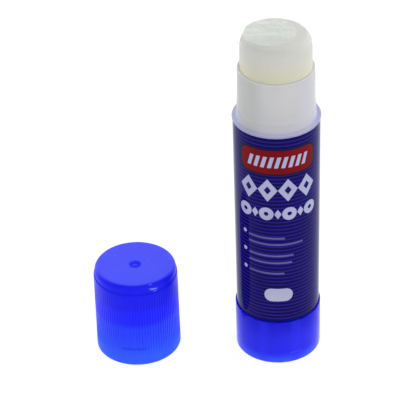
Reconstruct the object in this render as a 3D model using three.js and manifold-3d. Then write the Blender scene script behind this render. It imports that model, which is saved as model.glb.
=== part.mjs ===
// Twist-up glue stick with its cap taken off and standing beside it.
// Millimetres, +Z up. The stick stands on its twist knob: its axis is the Z axis and z = 0 is the table.
import * as THREE from 'three';
import { mergeVertices } from 'three/addons/utils/BufferGeometryUtils.js';
import Module from 'manifold-3d';

const wasm = await Module();
wasm.setup();

// Driving dimensions. The glue sets the bore, and every radius outside it is built up from there.
const glueRadius = 8.0;
const slideGap = 0.2;             // radial clearance of what slides in the barrel
const runningGap = 0.1;           // radial clearance of what turns or is pushed in
const seatGap = 0.3;              // axial gap where one piece rests on another
const edgeRound = 0.2;            // small roundings on rims
const rimProud = 0.14;            // flange, knob and cap mouth stand this far outside the label
const facets = 48;                // sides of a turned surface
const weldDistance = 1e-5;        // corners closer than this are one corner

// Twist knob
const knobHeight = 12.1;
const knobWall = 1.0;
const knobFloor = 1.3;
const knobFootRound = 0.55;
const knobFootInset = 0.9;        // flat foot ring, measured in from the rounded edge
const knobRecessDepth = 0.35;
const knobBossRadius = 3.0;
const knobRibs = 8;
const knobRibWidth = 0.8;
const knobRingDepth = 0.28;       // retaining ring inside the knob wall
const knobRingWidth = 1.0;
const hubWall = 1.25;
const hubDrop = 1.0;              // below the web of the barrel
const socketFloor = 2.6;

// Barrel
const shoulderGap = 0.2;          // running gap between knob rim and barrel shoulder
const barrelLength = 51.4;        // shoulder to the underside of the flange
const bodyWall = 1.63;            // at the flange
const bodyDraft = 0.18;           // how much the body narrows towards the knob
const flangeThickness = 0.5;
const neckWall = 0.46;
const neckHeight = 12.55;         // flange top to the rim of the neck
const lipProud = 0.12;
const lipHeight = 1.5;
const rimRound = 0.22;
const snapBeadProud = 0.34;
const snapBeadHeight = 1.5;
const snapBeadRise = 2.2;         // flange top to the foot of the bead
const webThickness = 1.4;
const skirtDepth = 4.1;
const skirtWall = 0.95;
const skirtBeadProud = 0.22;
const skirtBeadHeight = 1.0;
const keyHeight = 0.45;           // the two ribs that stop the carrier turning
const keyWidth = 0.9;
const keyTopDrop = 0.9;           // below the rim of the neck
const keyGap = 0.3;               // round a key, in the carrier and in the glue

// Label: a thin film sleeve between the flange and the shoulder
const labelThickness = 0.12;
const labelGap = 0.05;            // to the barrel wall and at both ends

// Lead screw
const threadLead = 4.0;
const coreRadius = 1.9;
const threadDepth = 1.0;
const threadRootWidth = 2.0;
const threadCrestWidth = 1.2;
const threadGap = 0.3;            // all round the thread in the nut
const screwTipDrop = 14.25;       // below the rim of the neck
const tipChamfer = 0.6;
const threadStartRise = 0.8;      // collar to the foot of the thread
const threadPhase = 0.021;        // radians, where the thread crosses its middle height
const stepsPerTurn = 16;
const collarWidth = 1.8;
const collarThickness = 1.0;
const collarPlay = 0.15;
const tailFlats = 4.4;            // hexagonal tail, across flats
const tailInset = 0.06;           // tail corners inside the round journal

// Carrier that pushes the glue
const retractTravel = 11.0;
const carrierHeight = 20.0;
const slotFloorWall = 0.25;
const platformRise = 10.0;
const platformThickness = 1.2;
const nutWall = 1.5;
const nutRise = 1.0;
const nutTurns = 1.0;
const gussetCount = 4;
const gussetWidth = 0.8;

// Glue
const glueProud = 8.75;           // above the rim of the neck
const glueShoulderWidth = 1.0;
const glueShoulderDrop = 2.0;
const glueTopRound = 0.35;
const glueSeatGap = 0.1;

// Cap, standing on its mouth beside the stick
const capStandX = -33.85;
const capStandY = 0.9;
const capHeadroom = 10.2;         // rim of the neck to the top face, when the cap is on
const capDraft = 0.28;
const capLedgeWidth = 0.24;
const capLedgeDrop = 2.0;         // top face down to the ledge
const capCrownRound = 0.9;
const capRibStart = 2.2;
const capRibDepth = 0.13;
const capRibSet = 0.06;           // how far the crests stand back from the smooth foot
const capRibCount = 92;
const capFootRound = 0.6;
const capTopThickness = 1.4;
const capBoreGap = 0.5;           // mouth bore over the neck
const capLandProud = 0.3;
const capGrooveDepth = 0.1;
const sealInset = 0.41;           // upper bore inside the neck radius
const sealBelowRim = 1.35;
const sealAboveRim = 1.05;
const dimpleRadius = 1.55;
const dimpleDepth = 0.5;

// Radii that follow
const boreRadius = glueRadius + slideGap;
const neckRadius = boreRadius + neckWall;
const bodyTopRadius = boreRadius + bodyWall;
const bodyBottomRadius = bodyTopRadius - bodyDraft;
const labelOffset = labelGap + labelThickness;
const rimRadius = bodyTopRadius + labelOffset + rimProud;
const knobBoreRadius = rimRadius - knobWall;
const knobRingRadius = knobBoreRadius - knobRingDepth;
const skirtRadius = knobRingRadius - runningGap;
const keyTipRadius = boreRadius - keyHeight;
const slotRadius = keyTipRadius - keyGap;
const slotWidth = keyWidth + 2 * keyGap;
const cupRadius = slotRadius - slotFloorWall;
const threadRadius = coreRadius + threadDepth;
const nutBoreRadius = threadRadius + threadGap;
const nutRadius = nutBoreRadius + nutWall;
const tailRadius = tailFlats / Math.sqrt(3);
const journalRadius = tailRadius + tailInset;
const hubRadius = tailRadius + runningGap + hubWall;

// Heights that follow
const shoulderZ = knobHeight + shoulderGap;
const webTopZ = shoulderZ + webThickness;
const skirtBottomZ = shoulderZ - skirtDepth;
const skirtBeadTopZ = skirtBottomZ + skirtBeadHeight + skirtBeadProud;
const hubTopZ = shoulderZ - hubDrop;
const flangeBottomZ = shoulderZ + barrelLength;
const flangeTopZ = flangeBottomZ + flangeThickness;
const rimZ = flangeTopZ + neckHeight;
const collarBottomZ = webTopZ + collarPlay;
const collarTopZ = collarBottomZ + collarThickness;
const threadStartZ = collarTopZ + threadStartRise;
const screwTipZ = rimZ - screwTipDrop;
const threadEndZ = screwTipZ - 2 * tipChamfer;
const threadMiddleZ = (threadStartZ + threadEndZ) / 2;
const carrierZ = collarTopZ + seatGap + retractTravel;
const carrierTopZ = carrierZ + carrierHeight;
const platformZ = carrierZ + platformRise;
const platformTopZ = platformZ + platformThickness;
const glueTopZ = rimZ + glueProud;
const glueBoreTopZ = screwTipZ + retractTravel + 2 * seatGap;
const capHeight = neckHeight + capHeadroom;

// Triangles from a list of coordinates and a list of corners
function meshGeometry(positions, faces) {
  const geometry = new THREE.BufferGeometry();
  geometry.setAttribute('position', new THREE.Float32BufferAttribute(positions, 3));
  geometry.setIndex(faces);
  return geometry;
}

// A closed triangle mesh made into a solid that can be joined and cut
function solid(geometry) {
  geometry.deleteAttribute('normal');
  geometry.deleteAttribute('uv');
  const merged = mergeVertices(geometry, weldDistance);
  const corners = merged.index.array;
  const kept = [];
  for (let i = 0; i < corners.length; i += 3) {
    const [a, b, c] = [corners[i], corners[i + 1], corners[i + 2]];
    if (a !== b && b !== c && c !== a) {
      kept.push(a, b, c);
    }
  }
  const mesh = new wasm.Mesh({
    numProp: 3,
    vertProperties: new Float32Array(merged.attributes.position.array),
    triVerts: new Uint32Array(kept),
  });
  return new wasm.Manifold(mesh);
}

// Turns a profile of [radius, height] points, listed anticlockwise, about the Z axis
function turned(profile, sides = facets) {
  const points = profile.map(([radius, height]) => new THREE.Vector2(radius, height));
  const first = profile[0];
  const last = profile[profile.length - 1];
  if (first[0] > 0 || last[0] > 0) {
    points.push(new THREE.Vector2(first[0], first[1]));
  }
  const geometry = new THREE.LatheGeometry(points, sides);
  geometry.rotateX(Math.PI / 2);
  return solid(geometry);
}

// Points of a quarter-round or other arc in a profile
function arc(centre, radius, startDegrees, endDegrees, steps = 3) {
  const points = [];
  for (let i = 0; i <= steps; i += 1) {
    const angle = THREE.MathUtils.degToRad(startDegrees + (endDegrees - startDegrees) * i / steps);
    points.push([centre[0] + radius * Math.cos(angle), centre[1] + radius * Math.sin(angle)]);
  }
  return points;
}

// A block between two heights, from one radius to another along X, turned to an angle about Z
function spoke(innerRadius, outerRadius, width, bottom, top, degrees) {
  const geometry = new THREE.BoxGeometry(outerRadius - innerRadius, width, top - bottom);
  geometry.translate((outerRadius + innerRadius) / 2, 0, (top + bottom) / 2);
  geometry.rotateZ(THREE.MathUtils.degToRad(degrees));
  return solid(geometry);
}

// A hexagonal bar across flats, between two heights
function hexBar(flats, bottom, top) {
  const radius = flats / Math.sqrt(3);
  const geometry = new THREE.CylinderGeometry(radius, radius, top - bottom, 6);
  geometry.rotateX(Math.PI / 2);
  geometry.translate(0, 0, (top + bottom) / 2);
  return solid(geometry);
}

// A left-handed helical ridge of trapezoid section, centred on a height
function helicalRidge(inner, outer, middleZ, turns) {
  const section = [
    [inner.radius, -inner.width / 2],
    [outer.radius, -outer.width / 2],
    [outer.radius, outer.width / 2],
    [inner.radius, inner.width / 2],
  ];
  const steps = Math.ceil(turns * stepsPerTurn / 2) * 2;
  const positions = [];
  for (let step = 0; step <= steps; step += 1) {
    const turn = (step - steps / 2) / stepsPerTurn;
    const angle = threadPhase - turn * 2 * Math.PI;
    for (const [radius, rise] of section) {
      const height = middleZ + turn * threadLead + rise;
      positions.push(radius * Math.cos(angle), radius * Math.sin(angle), height);
    }
  }
  const corners = section.length;
  const faces = [0, 2, 1, 0, 3, 2];
  for (let step = 0; step < steps; step += 1) {
    for (let side = 0; side < corners; side += 1) {
      const a = step * corners + side;
      const b = step * corners + (side + 1) % corners;
      faces.push(a, b, b + corners, a, b + corners, a + corners);
    }
  }
  const end = steps * corners;
  faces.push(end, end + 1, end + 2, end, end + 2, end + 3);
  return solid(meshGeometry(positions, faces));
}

// A cylinder whose side is ribbed by shallow grooves, drafted from one crest radius to another
function ribbedBand(bottom, top, bottomRadius, topRadius, depth, count) {
  const corners = 2 * count;
  const positions = [];
  for (const [height, crest] of [[bottom, bottomRadius], [top, topRadius]]) {
    for (let i = 0; i < corners; i += 1) {
      const angle = i * 2 * Math.PI / corners;
      const radius = i % 2 ? crest - depth : crest;
      positions.push(radius * Math.cos(angle), radius * Math.sin(angle), height);
    }
  }
  positions.push(0, 0, bottom, 0, 0, top);
  const faces = [];
  for (let i = 0; i < corners; i += 1) {
    const next = (i + 1) % corners;
    faces.push(i, next, corners + next, i, corners + next, corners + i);
    faces.push(2 * corners, next, i);
    faces.push(2 * corners + 1, corners + i, corners + next);
  }
  return solid(meshGeometry(positions, faces));
}

// White barrel: body, flange and neck in one, a web across its foot and a skirt that snaps into the knob
function barrelSolid() {
  const lipRadius = neckRadius + lipProud;
  const lipZ = rimZ - lipHeight;
  const beadRadius = neckRadius + snapBeadProud;
  const beadZ = flangeTopZ + snapBeadRise;
  const skirtBoreRadius = skirtRadius - skirtWall;
  const skirtBeadRadius = skirtRadius + skirtBeadProud;
  const webBoreRadius = journalRadius + runningGap;
  let body = turned([
    [skirtBoreRadius, skirtBottomZ],
    [skirtRadius, skirtBottomZ],
    [skirtBeadRadius, skirtBottomZ + skirtBeadHeight / 2],
    [skirtBeadRadius, skirtBottomZ + skirtBeadHeight],
    [skirtRadius, skirtBeadTopZ],
    [skirtRadius, shoulderZ],
    [bodyBottomRadius, shoulderZ],
    [bodyTopRadius, flangeBottomZ],
    [rimRadius - edgeRound / 2, flangeBottomZ],
    [rimRadius, flangeBottomZ + edgeRound / 2],
    ...arc([rimRadius - edgeRound, flangeTopZ - edgeRound], edgeRound, 0, 90, 2),
    ...arc([neckRadius + edgeRound, flangeTopZ + edgeRound], edgeRound, 270, 180, 2),
    [neckRadius, beadZ],
    [beadRadius, beadZ + snapBeadProud],
    [beadRadius, beadZ + snapBeadHeight / 2],
    [neckRadius, beadZ + snapBeadHeight],
    [neckRadius, lipZ],
    [lipRadius, lipZ + lipProud],
    ...arc([lipRadius - rimRound, rimZ - rimRound], rimRound, 0, 90, 2),
    [boreRadius, rimZ - rimRound],
    [boreRadius, webTopZ],
    [webBoreRadius, webTopZ],
    [webBoreRadius, shoulderZ],
    [skirtBoreRadius, shoulderZ],
  ]);
  const keyRoot = boreRadius + neckWall / 2;
  for (const side of [0, 180]) {
    body = body.add(spoke(keyTipRadius, keyRoot, keyWidth, shoulderZ + edgeRound, rimZ - keyTopDrop, side));
  }
  return body;
}

// Printed film label wrapped round the body
function labelSolid() {
  const bottom = shoulderZ + labelGap;
  const top = flangeBottomZ - labelGap;
  return turned([
    [bodyBottomRadius + labelGap, bottom],
    [bodyBottomRadius + labelOffset, bottom],
    [bodyTopRadius + labelOffset, top],
    [bodyTopRadius + labelGap, top],
  ]);
}

// Blue knob: a cup with a hub for the screw, radial ribs and a ring that holds the barrel's skirt
function knobSolid() {
  const footOuter = rimRadius - knobFootRound;
  const footInner = footOuter - knobFootInset;
  const ringZ = skirtBeadTopZ + seatGap;
  let body = turned([
    [0, 0],
    [knobBossRadius, 0],
    [knobBossRadius + knobRecessDepth, knobRecessDepth],
    [footInner - knobRecessDepth, knobRecessDepth],
    [footInner, 0],
    ...arc([footOuter, knobFootRound], knobFootRound, 270, 360, 3),
    ...arc([rimRadius - edgeRound, knobHeight - edgeRound], edgeRound, 0, 90, 2),
    [knobBoreRadius, knobHeight],
    [knobBoreRadius, ringZ + knobRingWidth],
    [knobRingRadius, ringZ + knobRingWidth - knobRingDepth],
    [knobRingRadius, ringZ + knobRingDepth],
    [knobBoreRadius, ringZ],
    [knobBoreRadius, knobFloor],
    [hubRadius, knobFloor],
    [hubRadius, hubTopZ],
    [0, hubTopZ],
  ]);
  const ribInner = hubRadius - hubWall / 2;
  const ribOuter = knobBoreRadius + knobWall / 2;
  for (let i = 0; i < knobRibs; i += 1) {
    const angle = (i + 0.5) * 360 / knobRibs;
    const rib = spoke(ribInner, ribOuter, knobRibWidth, knobFloor / 2, skirtBottomZ - seatGap, angle);
    body = body.add(rib);
  }
  return body.subtract(hexBar(tailFlats + 2 * runningGap, socketFloor, hubTopZ + seatGap));
}

// Lead screw: left-handed thread, collar on the barrel's web, hexagonal tail in the knob's hub
function screwSolid() {
  const collarRadius = journalRadius + collarWidth;
  const rod = turned([
    [0, hubTopZ],
    [journalRadius, hubTopZ],
    [journalRadius, collarBottomZ],
    [collarRadius, collarBottomZ],
    [collarRadius, collarTopZ],
    [coreRadius, collarTopZ],
    [coreRadius, screwTipZ - tipChamfer],
    [coreRadius - tipChamfer, screwTipZ],
    [0, screwTipZ],
  ], facets / 2);
  const taper = (threadRootWidth - threadCrestWidth) / threadDepth;
  const root = { radius: coreRadius - threadGap, width: threadRootWidth + taper * threadGap };
  const crest = { radius: threadRadius, width: threadCrestWidth };
  const turns = (threadEndZ - threadStartZ) / threadLead + 1;
  const ridge = helicalRidge(root, crest, threadMiddleZ, turns);
  const envelope = turned([
    [0, threadStartZ],
    [nutBoreRadius, threadStartZ],
    [nutBoreRadius, threadEndZ],
    [0, threadEndZ],
  ]);
  const tail = hexBar(tailFlats, socketFloor + seatGap, hubTopZ + seatGap);
  return rod.add(ridge.intersect(envelope)).add(tail);
}

// Carrier: skirt, platform and cup in one wall, with a nut under the platform and a slot for each key
function carrierSolid() {
  const nutBottomZ = carrierZ + nutRise;
  let body = turned([
    [nutBoreRadius, nutBottomZ],
    [nutRadius, nutBottomZ],
    [nutRadius, platformZ],
    [cupRadius, platformZ],
    [cupRadius, carrierZ],
    [glueRadius, carrierZ],
    [glueRadius, carrierTopZ],
    [cupRadius, carrierTopZ],
    [cupRadius, platformTopZ],
    [nutBoreRadius, platformTopZ],
  ]);
  const gussetInner = nutRadius - nutWall / 2;
  const gussetOuter = cupRadius + slotFloorWall / 2;
  const gussetBottom = nutBottomZ + nutRise;
  const gussetTop = platformZ + platformThickness / 2;
  for (let i = 0; i < gussetCount; i += 1) {
    const angle = (i + 0.5) * 360 / gussetCount;
    body = body.add(spoke(gussetInner, gussetOuter, gussetWidth, gussetBottom, gussetTop, angle));
  }
  const slotBottom = carrierZ - seatGap;
  const slotTop = carrierTopZ + seatGap;
  for (const side of [0, 180]) {
    body = body.subtract(spoke(slotRadius, boreRadius, slotWidth, slotBottom, slotTop, side));
  }
  const taper = (threadRootWidth - threadCrestWidth) / threadDepth;
  const grooveWidth = threadLead - threadRootWidth - 2 * threadGap;
  const tip = { radius: coreRadius + threadGap, width: grooveWidth + taper * threadGap };
  const rootDepth = threadDepth + 2 * threadGap;
  const root = { radius: coreRadius + rootDepth, width: grooveWidth + taper * rootDepth };
  const turnsAway = ((nutBottomZ + platformZ) / 2 - threadMiddleZ) / threadLead;
  const nutMiddleZ = threadMiddleZ + (Math.round(turnsAway - 0.5) + 0.5) * threadLead;
  return body.add(helicalRidge(tip, root, nutMiddleZ, nutTurns));
}

// Glue: cast in the carrier's cup round the screw, its top rubbed to a narrower flat with a soft shoulder
function glueSolid() {
  const topRadius = glueRadius - glueShoulderWidth;
  const shoulder = glueTopZ - glueShoulderDrop;
  const footRadius = cupRadius - glueSeatGap;
  const footZ = platformTopZ + glueSeatGap;
  let body = turned([
    [nutBoreRadius, footZ],
    [footRadius, footZ],
    [footRadius, carrierTopZ + glueSeatGap],
    [glueRadius, carrierTopZ + glueSeatGap],
    [glueRadius, shoulder],
    [glueRadius - glueShoulderWidth / 4, shoulder + glueShoulderDrop / 2],
    ...arc([topRadius - glueTopRound, glueTopZ - glueTopRound], glueTopRound, 20, 90, 2),
    [0, glueTopZ],
    [0, glueBoreTopZ],
    [nutBoreRadius - tipChamfer, glueBoreTopZ],
    [nutBoreRadius, glueBoreTopZ - tipChamfer],
  ]);
  for (const side of [0, 180]) {
    body = body.subtract(spoke(slotRadius, boreRadius, slotWidth, footZ, glueTopZ + seatGap, side));
  }
  return body;
}

// Cap: smooth foot, ribbed wall, smaller crown with a gate dimple, bore stepped to seal on the neck
function capSolid() {
  const ledgeZ = capHeight - capLedgeDrop;
  const wallTopRadius = rimRadius - capDraft;
  const crownRadius = wallTopRadius - capLedgeWidth;
  const mouthRadius = neckRadius + capBoreGap;
  const landRadius = mouthRadius - capLandProud;
  const landZ = snapBeadRise - capGrooveDepth;
  const grooveRadius = mouthRadius + capGrooveDepth;
  const grooveZ = snapBeadRise + snapBeadHeight;
  const sealRadius = neckRadius - sealInset;
  const ceilingZ = capHeight - capTopThickness;
  const foot = turned([
    [0, 0],
    ...arc([rimRadius - capFootRound, capFootRound], capFootRound, 270, 360, 3),
    [rimRadius, capRibStart],
    [0, capRibStart],
  ]);
  const bandRadius = rimRadius - capRibSet;
  const band = ribbedBand(capRibStart, ledgeZ, bandRadius, wallTopRadius, capRibDepth, capRibCount);
  const crown = turned([
    [0, ledgeZ],
    [crownRadius, ledgeZ],
    ...arc([crownRadius - capCrownRound, capHeight - capCrownRound], capCrownRound, 0, 90, 4),
    [dimpleRadius, capHeight],
    [dimpleRadius - edgeRound, capHeight - dimpleDepth],
    [0, capHeight - dimpleDepth],
  ]);
  const hollow = turned([
    [0, -seatGap],
    [mouthRadius, -seatGap],
    [mouthRadius, 0],
    [landRadius, capLandProud],
    [landRadius, landZ - capLandProud],
    [grooveRadius, landZ],
    [grooveRadius, grooveZ],
    [mouthRadius, grooveZ + capGrooveDepth],
    [mouthRadius, neckHeight - sealBelowRim],
    [sealRadius, neckHeight + sealAboveRim],
    [sealRadius, ceilingZ - edgeRound],
    [sealRadius - edgeRound, ceilingZ],
    [0, ceilingZ],
  ]);
  return foot.add(band).add(crown).subtract(hollow);
}

const whitePlastic = { color: 0xe6e6ea, roughness: 0.35, metalness: 0 };
const bluePlastic = { color: 0x2a2ae0, roughness: 0.22, metalness: 0 };
const labelFilm = { color: 0x1a0f70, roughness: 0.25, metalness: 0 };
const glueBody = { color: 0xd9dace, roughness: 0.5, metalness: 0 };

// Makes the named mesh of one piece from its solid
function piece(name, body, finish) {
  const mesh = body.getMesh();
  const geometry = new THREE.BufferGeometry();
  geometry.setAttribute('position', new THREE.BufferAttribute(mesh.vertProperties, 3));
  geometry.setIndex(new THREE.BufferAttribute(mesh.triVerts, 1));
  geometry.computeVertexNormals();
  const node = new THREE.Mesh(geometry, new THREE.MeshStandardMaterial(finish));
  node.name = name;
  return node;
}

const stick = new THREE.Group();
stick.add(piece('barrel', barrelSolid(), whitePlastic));
stick.add(piece('label', labelSolid(), labelFilm));
stick.add(piece('twist_knob', knobSolid(), bluePlastic));
stick.add(piece('lead_screw', screwSolid(), whitePlastic));
stick.add(piece('glue_carrier', carrierSolid(), whitePlastic));
stick.add(piece('glue_stick', glueSolid(), glueBody));

const cap = piece('cap', capSolid(), bluePlastic);
cap.position.set(capStandX, capStandY, 0);

const set = new THREE.Group();
set.add(stick);
set.add(cap);

export default set;
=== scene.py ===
"""Twist-up glue stick, open, with its cap standing beside it.

Lengths are millimetres and are scaled to metres as each mesh is made. The stick's axis is Z, the table
is z = 0, the front of the print faces -Y and the cap stands towards -X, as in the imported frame.
"""
import math

import bmesh
import bpy
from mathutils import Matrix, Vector, geometry, noise


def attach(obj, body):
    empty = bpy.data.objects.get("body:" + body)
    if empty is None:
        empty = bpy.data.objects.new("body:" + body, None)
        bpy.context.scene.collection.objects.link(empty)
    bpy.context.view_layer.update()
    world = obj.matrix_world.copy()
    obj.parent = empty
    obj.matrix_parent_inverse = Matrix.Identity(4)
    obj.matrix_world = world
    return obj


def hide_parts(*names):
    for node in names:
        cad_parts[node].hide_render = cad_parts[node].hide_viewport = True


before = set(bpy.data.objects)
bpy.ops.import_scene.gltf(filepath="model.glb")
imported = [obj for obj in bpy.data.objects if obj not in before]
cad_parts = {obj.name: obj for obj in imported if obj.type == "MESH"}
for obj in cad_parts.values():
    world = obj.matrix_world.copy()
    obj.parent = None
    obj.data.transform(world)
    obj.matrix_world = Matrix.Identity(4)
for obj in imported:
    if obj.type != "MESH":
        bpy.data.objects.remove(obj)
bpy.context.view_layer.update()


# Barrel
# Natural white polypropylene, injection moulded in one: body, flange, neck with a snap bead and a
# rolled lip, a web across the foot and a skirt that snaps into the knob. Milky and glossy.
MM = 0.001
TURN = 2 * math.pi
slope_angle = 0.012


def eased(corners, steps=4):
    """Points of a closed outline of (radius, height, rounding) corners, each rounding made an arc."""
    points = []
    for i, (radius, height, rounding) in enumerate(corners):
        corner = Vector((radius, height))
        if rounding == 0:
            points.append((radius, height))
            continue
        before = (Vector(corners[i - 1][:2]) - corner).normalized()
        after = (Vector(corners[(i + 1) % len(corners)][:2]) - corner).normalized()
        half = before.angle(after) / 2
        centre = corner + (before + after).normalized() * (rounding / math.sin(half))
        reach = rounding / math.tan(half)
        start = corner + before * reach - centre
        end = corner + after * reach - centre
        sweep = start.angle(end)
        for step in range(steps + 1):
            share = step / steps
            spoke = start * math.sin((1 - share) * sweep) + end * math.sin(share * sweep)
            spoke = centre + spoke / math.sin(sweep)
            points.append((spoke.x, spoke.y))
    return points


def side_angles(width, radius):
    """Angles of both sides of a key or groove, at each end of X, with a narrow slope beside each."""
    edge = math.asin(width / 2 / radius)
    return [TURN * half / 2 + sign * angle for half in (0, 1) for sign in (-1, 1)
            for angle in (edge, edge + slope_angle)]


def even_angles(sides, *extra):
    """Angles of a full turn, evenly spaced, with a few more where a key or lap has its sides."""
    angles = [TURN * k / sides for k in range(sides)]
    for angle in extra:
        if min(abs(angle % TURN - a) for a in angles) > 1e-6:
            angles.append(angle % TURN)
    return sorted(angles)


def smooth_object(name, vertices, faces, sharp_degrees=32):
    """A shown object from vertices in metres, smooth but for its sharp edges."""
    mesh = bpy.data.meshes.new(name)
    mesh.from_pydata(vertices, [], faces)
    mesh.shade_smooth()
    mesh.set_sharp_from_angle(angle=math.radians(sharp_degrees))
    mesh.update()
    thing = bpy.data.objects.new(name, mesh)
    bpy.context.scene.collection.objects.link(thing)
    return thing


def turned(name, outline, angles, reshape=None, centre=(0, 0), sharp_degrees=32):
    """Turns an outline of (radius, height) points, listed anticlockwise, about an upright axis.

    reshape gives each point its own radius and height, from its place in the outline and its angle.
    """
    vertices = []
    rings = []
    for radius, height in outline:
        if radius < 1e-6:
            rings.append([len(vertices)] * len(angles))
            vertices.append((centre[0] * MM, centre[1] * MM, height * MM))
            continue
        ring = []
        for angle in angles:
            r, z = reshape(radius, height, angle) if reshape else (radius, height)
            ring.append(len(vertices))
            x = centre[0] + r * math.cos(angle)
            y = centre[1] + r * math.sin(angle)
            vertices.append((x * MM, y * MM, z * MM))
        rings.append(ring)
    faces = []
    for i, lower in enumerate(rings):
        upper = rings[(i + 1) % len(rings)]
        if lower[0] == lower[-1] and upper[0] == upper[-1]:
            continue
        for k in range(len(angles)):
            following = (k + 1) % len(angles)
            quad = [lower[k], lower[following], upper[following], upper[k]]
            face = [v for j, v in enumerate(quad) if v not in quad[:j]]
            faces.append(face)
    return smooth_object(name, vertices, faces, sharp_degrees)


def add(tree, kind, inputs=None, **settings):
    """A shader node with its settings and plain input values."""
    node = tree.nodes.new(kind)
    for key, value in settings.items():
        setattr(node, key, value)
    for key, value in (inputs or {}).items():
        node.inputs[key].default_value = value
    return node


def new_finish(name, **shader):
    """A material with object coordinates ready: its tree, its shader and the coordinates' socket."""
    material = bpy.data.materials.new(name)
    material.use_nodes = True
    tree = material.node_tree
    principled = tree.nodes["Principled BSDF"]
    for key, value in shader.items():
        principled.inputs[key.replace("_", " ")].default_value = value
    place = add(tree, "ShaderNodeTexCoord").outputs["Object"]
    return material, tree, principled, place


def grain(tree, place, scale, detail=2.0, stretch=None):
    """Noise from 0 to 1 at a scale given per metre, stretched along an axis if asked."""
    source = place
    if stretch:
        mapping = add(tree, "ShaderNodeMapping", {"Scale": stretch})
        tree.links.new(place, mapping.inputs["Vector"])
        source = mapping.outputs["Vector"]
    texture = add(tree, "ShaderNodeTexNoise", {"Scale": scale, "Detail": detail})
    tree.links.new(source, texture.inputs["Vector"])
    return texture.outputs["Fac"]


def ramp(tree, value, *stops):
    """A colour that goes through (position, colour) stops with a value."""
    node = add(tree, "ShaderNodeValToRGB")
    elements = node.color_ramp.elements
    while len(elements) < len(stops):
        elements.new(0.5)
    for element, (position, colour) in zip(elements, stops):
        element.position = position
        element.color = (*colour, 1)
    tree.links.new(value, node.inputs["Fac"])
    return node.outputs["Color"]


def spread(tree, value, low, high, from_low=0.0, from_high=1.0, smooth=False):
    """A value carried from one range to another."""
    node = add(tree, "ShaderNodeMapRange", {
        "From Min": from_low, "From Max": from_high, "To Min": low, "To Max": high})
    if smooth:
        node.interpolation_type = "SMOOTHSTEP"
    tree.links.new(value, node.inputs["Value"])
    return node.outputs["Result"]


def share_between(tree, length, start, end, first=0.0, last=1.0, smooth=False):
    """A share that goes from first to last as a length passes from start to end, in millimetres."""
    return spread(tree, length, first, last, start * MM, end * MM, smooth)


def math_node(tree, operation, first, second=0.0):
    """A sum, product or other operation of two sockets or numbers."""
    node = add(tree, "ShaderNodeMath", operation=operation)
    for socket, value in zip(node.inputs, (first, second)):
        if isinstance(value, (int, float)):
            socket.default_value = value
        else:
            tree.links.new(value, socket)
    return node.outputs["Value"]


def blend_colour(tree, factor, first, second):
    """Two colours mixed by a factor; each may be a socket or plain numbers."""
    node = add(tree, "ShaderNodeMix", data_type="RGBA")
    sockets = (node.inputs[0], node.inputs[6], node.inputs[7])
    for socket, value in zip(sockets, (factor, first, second)):
        if isinstance(value, (int, float)):
            socket.default_value = value
        elif isinstance(value, tuple):
            socket.default_value = (*value, 1)
        else:
            tree.links.new(value, socket)
    return node.outputs[2]


def split_place(tree, place):
    """The three coordinates of a place: its sockets X, Y and Z."""
    node = add(tree, "ShaderNodeSeparateXYZ")
    tree.links.new(place, node.inputs["Vector"])
    return node.outputs


def distance_from(tree, place, point):
    """Distance of a place from a point given in millimetres."""
    node = add(tree, "ShaderNodeVectorMath", {1: [value * MM for value in point]}, operation="DISTANCE")
    tree.links.new(place, node.inputs[0])
    return node.outputs["Value"]


def distance_from_upright(tree, place, x=0.0, y=0.0):
    """Distance of a place from an upright line at x and y, in millimetres."""
    level = add(tree, "ShaderNodeVectorMath", {1: (1, 1, 0)}, operation="MULTIPLY")
    tree.links.new(place, level.inputs[0])
    return distance_from(tree, level.outputs[0], (x, y, 0))


def bumped(tree, principled, height, distance, strength=1.0):
    """Gives the shader a bump from a height and its depth in metres."""
    node = add(tree, "ShaderNodeBump", {"Distance": distance, "Strength": strength})
    tree.links.new(height, node.inputs["Height"])
    tree.links.new(node.outputs["Normal"], principled.inputs["Normal"])


bore_radius = 8.2
neck_foot_radius = 8.88
neck_top_radius = 8.75
bead_radius = 9.0
body_bottom_radius = 9.65
body_top_radius = 9.83
rim_radius = 10.14
skirt_radius = 8.76
skirt_bore = 7.81
journal_bore = 2.7
shoulder_z = 12.3
web_top_z = 13.7
skirt_bottom_z = 8.2
flange_bottom_z = 63.7
flange_top_z = 64.2
bead_z = 66.4
rim_z = 76.75
key_tip_radius = 7.75
key_width = 0.9
key_top_z = rim_z - 0.9
snap_height = 0.22
rim_relief = 0.012

barrel_outline = eased([
    (skirt_bore, skirt_bottom_z, 0.12),
    (skirt_radius, skirt_bottom_z, 0.2),
    (skirt_radius + snap_height, skirt_bottom_z + 0.5, 0.12),
    (skirt_radius + snap_height, skirt_bottom_z + 1.0, 0.12),
    (skirt_radius, skirt_bottom_z + 1.0 + snap_height, 0.1),
    (skirt_radius, shoulder_z, 0.12),
    (body_bottom_radius, shoulder_z, 0.12),
    (body_top_radius, flange_bottom_z, 0.05),
    (rim_radius, flange_bottom_z, 0.1),
    (rim_radius, flange_top_z, 0.2),
    (neck_foot_radius + 0.44, flange_top_z, 0.35),
    (neck_foot_radius - 0.02, bead_z - 0.4, 0.7),
    (bead_radius, bead_z + 0.4, 0.45),
    (bead_radius, bead_z + 0.8, 0.5),
    (neck_foot_radius, bead_z + 1.9, 1.2),
    (neck_top_radius, rim_z, 0.4),
    (bore_radius - rim_relief, rim_z, 0.01),
    (bore_radius - rim_relief, rim_z - 0.3, 0),
    (bore_radius, rim_z - 0.4, 0),
    (bore_radius, key_top_z + 0.02, 0),
    (bore_radius, key_top_z - 0.4, 0),
    (bore_radius, web_top_z + 0.1, 0),
    (bore_radius, web_top_z, 0),
    (journal_bore, web_top_z, 0.1),
    (journal_bore, shoulder_z, 0.1),
    (skirt_bore, shoulder_z, 0.15),
])


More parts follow.
